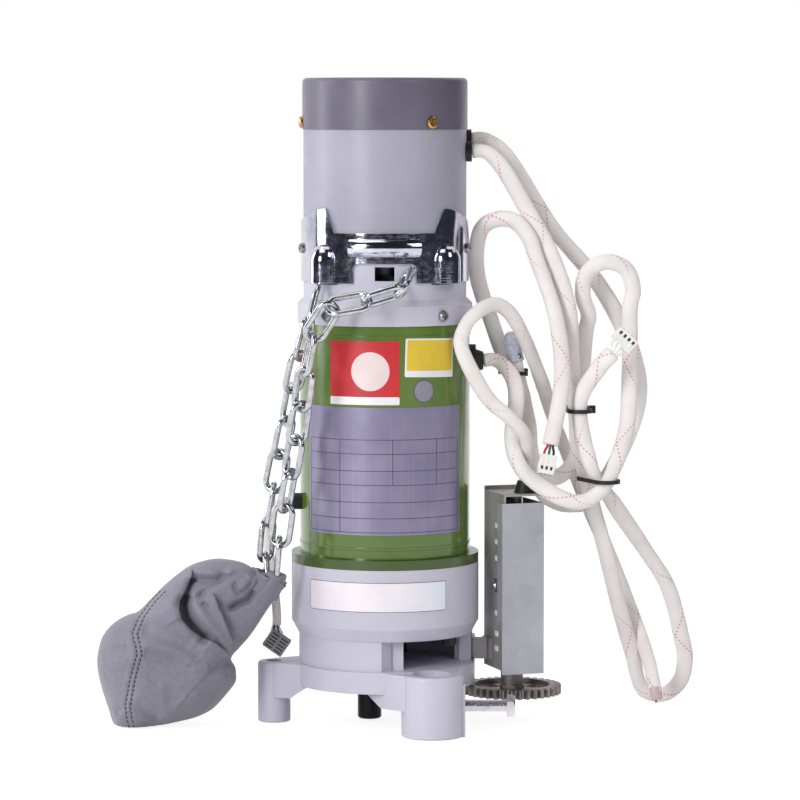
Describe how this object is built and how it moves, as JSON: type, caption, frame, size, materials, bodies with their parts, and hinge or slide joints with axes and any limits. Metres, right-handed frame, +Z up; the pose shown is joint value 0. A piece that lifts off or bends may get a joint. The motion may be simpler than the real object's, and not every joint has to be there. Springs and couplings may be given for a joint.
{
  "type": "industrial door operator",
  "caption": "Upright geared motor operator for a rolling shutter with an electromagnetic brake, hand chain in a cloth bag, geared limit-switch unit and sleeved leads.",
  "frame": {"origin": "centre of the three-foot bolt circle, on the plane of the feet", "axes": "+Z up along the motor axis from the feet to the tail cap; +X towards the limit unit and the leads; -Y towards the chain guide's front"},
  "size_m": [0.403, 0.1683, 0.433],
  "materials": {
    "cast_grey": "satin hammered paint",
    "upper_grey": "satin paint",
    "cap_grey": "satin paint",
    "stator_green": "gloss paint",
    "steel": "turned",
    "black_steel": "blackened",
    "bright_chrome": "bright zinc",
    "bronze": "sintered bronze",
    "yellow_zinc": "yellow zinc",
    "copper": "enamelled copper wire",
    "nylon": "moulded nylon",
    "rubber": "matt rubber",
    "zinc_sheet": "zinc-coated sheet",
    "gear_steel": "oxidised",
    "sleeve_cloth": "braided glass sleeving",
    "bag_cloth": "woven cotton"
  },
  "bodies": {
    "frame": {"base_casting": "cast_grey", "gearbox_housing": "cast_grey", "gearbox_cover": "stator_green", "stator_housing": "stator_green", "end_bell": "cast_grey", "brake_housing": "upper_grey", "tail_cap": "cap_grey", "chain_guide": "bright_chrome", "stator_core": "steel", "stator_windings": "copper", "motor_bearings": "steel", "output_bearing": "steel", "shaft_bushes": "bronze", "brake_coil": "black_steel", "brake_backplate": "steel", "brake_springs": "steel", "housing_screws": "steel", "flange_screws": "bright_chrome", "cap_screws": "yellow_zinc", "guide_screws": "bright_chrome", "lead_grommets": "rubber", "cable_outlets": "rubber", "tension_bolt": "bright_chrome", "limit_frame": "upper_grey", "limit_cover": "zinc_sheet", "limit_bracket": "upper_grey", "limit_bushes": "bronze", "limit_switches": "rubber", "switch_carriers": "nylon", "limit_screws": "bright_chrome", "guide_springs": "steel", "hand_chain": "bright_chrome", "chain_bag": "bag_cloth", "motor_lead": "sleeve_cloth", "brake_lead": "sleeve_cloth", "stator_lead": "sleeve_cloth", "limit_lead": "sleeve_cloth", "sensor_lead": "sleeve_cloth", "motor_connector": "nylon", "brake_connector": "nylon", "lead_ends": "nylon", "cable_ties": "rubber", "window_buffer": "rubber"},
    "motor_rotor": {"motor_shaft": "black_steel", "rotor_core": "steel", "brake_disc": "black_steel"},
    "armature": {"brake_armature": "steel"},
    "counter_a": {"counter_gear_a": "steel"},
    "counter_b": {"counter_gear_b": "steel"},
    "output": {"output_gear": "steel", "output_shaft": "black_steel", "output_sprocket": "black_steel"},
    "chain_wheel": {"hand_chain_wheel": "steel"},
    "limit_shaft": {"limit_spindle": "steel", "limit_gear": "gear_steel"},
    "nut_upper": {"upper_nut": "nylon"},
    "nut_lower": {"lower_nut": "nylon"},
    "plate": {"guide_plate": "steel"},
    "lever_upper": {"upper_switch_lever": "bright_chrome"},
    "lever_lower": {"lower_switch_lever": "bright_chrome"}
  },
  "joints": [
    {"name": "output_spin", "type": "hinge", "parent": "frame", "child": "output", "pos_m": [-0.0065, 0, 0], "axis": [0, 0, 1], "continuous": true},
    {"name": "motor_spin", "type": "hinge", "parent": "frame", "child": "motor_rotor", "pos_m": [0.004, 0, 0], "axis": [0, 0, 1], "continuous": true},
    {"name": "counter_a_spin", "type": "hinge", "parent": "frame", "child": "counter_a", "pos_m": [0.032, 0, 0], "axis": [0, 0, 1], "continuous": true},
    {"name": "counter_b_spin", "type": "hinge", "parent": "frame", "child": "counter_b", "pos_m": [0.02082, 0.02784, 0], "axis": [0, 0, 1], "continuous": true},
    {"name": "brake_release", "type": "slide", "parent": "frame", "child": "armature", "axis": [0, 0, -1], "range_m": [0, 0.0006], "stiffness_N_per_m": 8000, "springref_m": -0.0005, "deforming": ["brake_springs"]},
    {"name": "chain_wheel_spin", "type": "hinge", "parent": "frame", "child": "chain_wheel", "pos_m": [0.004, 0, 0], "axis": [0, 0, 1], "continuous": true},
    {"name": "limit_spin", "type": "hinge", "parent": "frame", "child": "limit_shaft", "pos_m": [0.0897, 0, 0], "axis": [0, 0, 1], "range_deg": [-2880, 2880]},
    {"name": "upper_nut_travel", "type": "slide", "parent": "frame", "child": "nut_upper", "axis": [0, 0, 1], "range_m": [-0.0121, 0.0121]},
    {"name": "lower_nut_travel", "type": "slide", "parent": "frame", "child": "nut_lower", "axis": [0, 0, 1], "range_m": [-0.0121, 0.0121]},
    {"name": "guide_plate_press", "type": "slide", "parent": "frame", "child": "plate", "axis": [-0.309, 0.9511, 0], "range_m": [0, 0.0028], "stiffness_N_per_m": 1200, "springref_m": -0.001, "deforming": ["guide_springs"]},
    {"name": "upper_lever_press", "type": "hinge", "parent": "frame", "child": "lever_upper", "pos_m": [0.09015, -0.02299, 0.11718], "axis": [0.9511, 0.309, 0], "range_deg": [0, 5], "stiffness_Nm_per_rad": 0.05, "springref_deg": -5.73},
    {"name": "lower_lever_press", "type": "hinge", "parent": "frame", "child": "lever_lower", "pos_m": [0.09015, -0.02299, 0.06982], "axis": [-0.9511, -0.309, 0], "range_deg": [0, 5], "stiffness_Nm_per_rad": 0.05, "springref_deg": -5.73}
  ],
  "couplings": [
    {"joint": "counter_b_spin", "follows": "output_spin", "ratio": -3.3333},
    {"joint": "counter_a_spin", "follows": "output_spin", "ratio": 10},
    {"joint": "motor_spin", "follows": "output_spin", "ratio": -36.667},
    {"joint": "upper_nut_travel", "follows": "limit_spin", "m_per_rad": -0.00023873},
    {"joint": "lower_nut_travel", "follows": "limit_spin", "m_per_rad": -0.00023873}
  ]
}
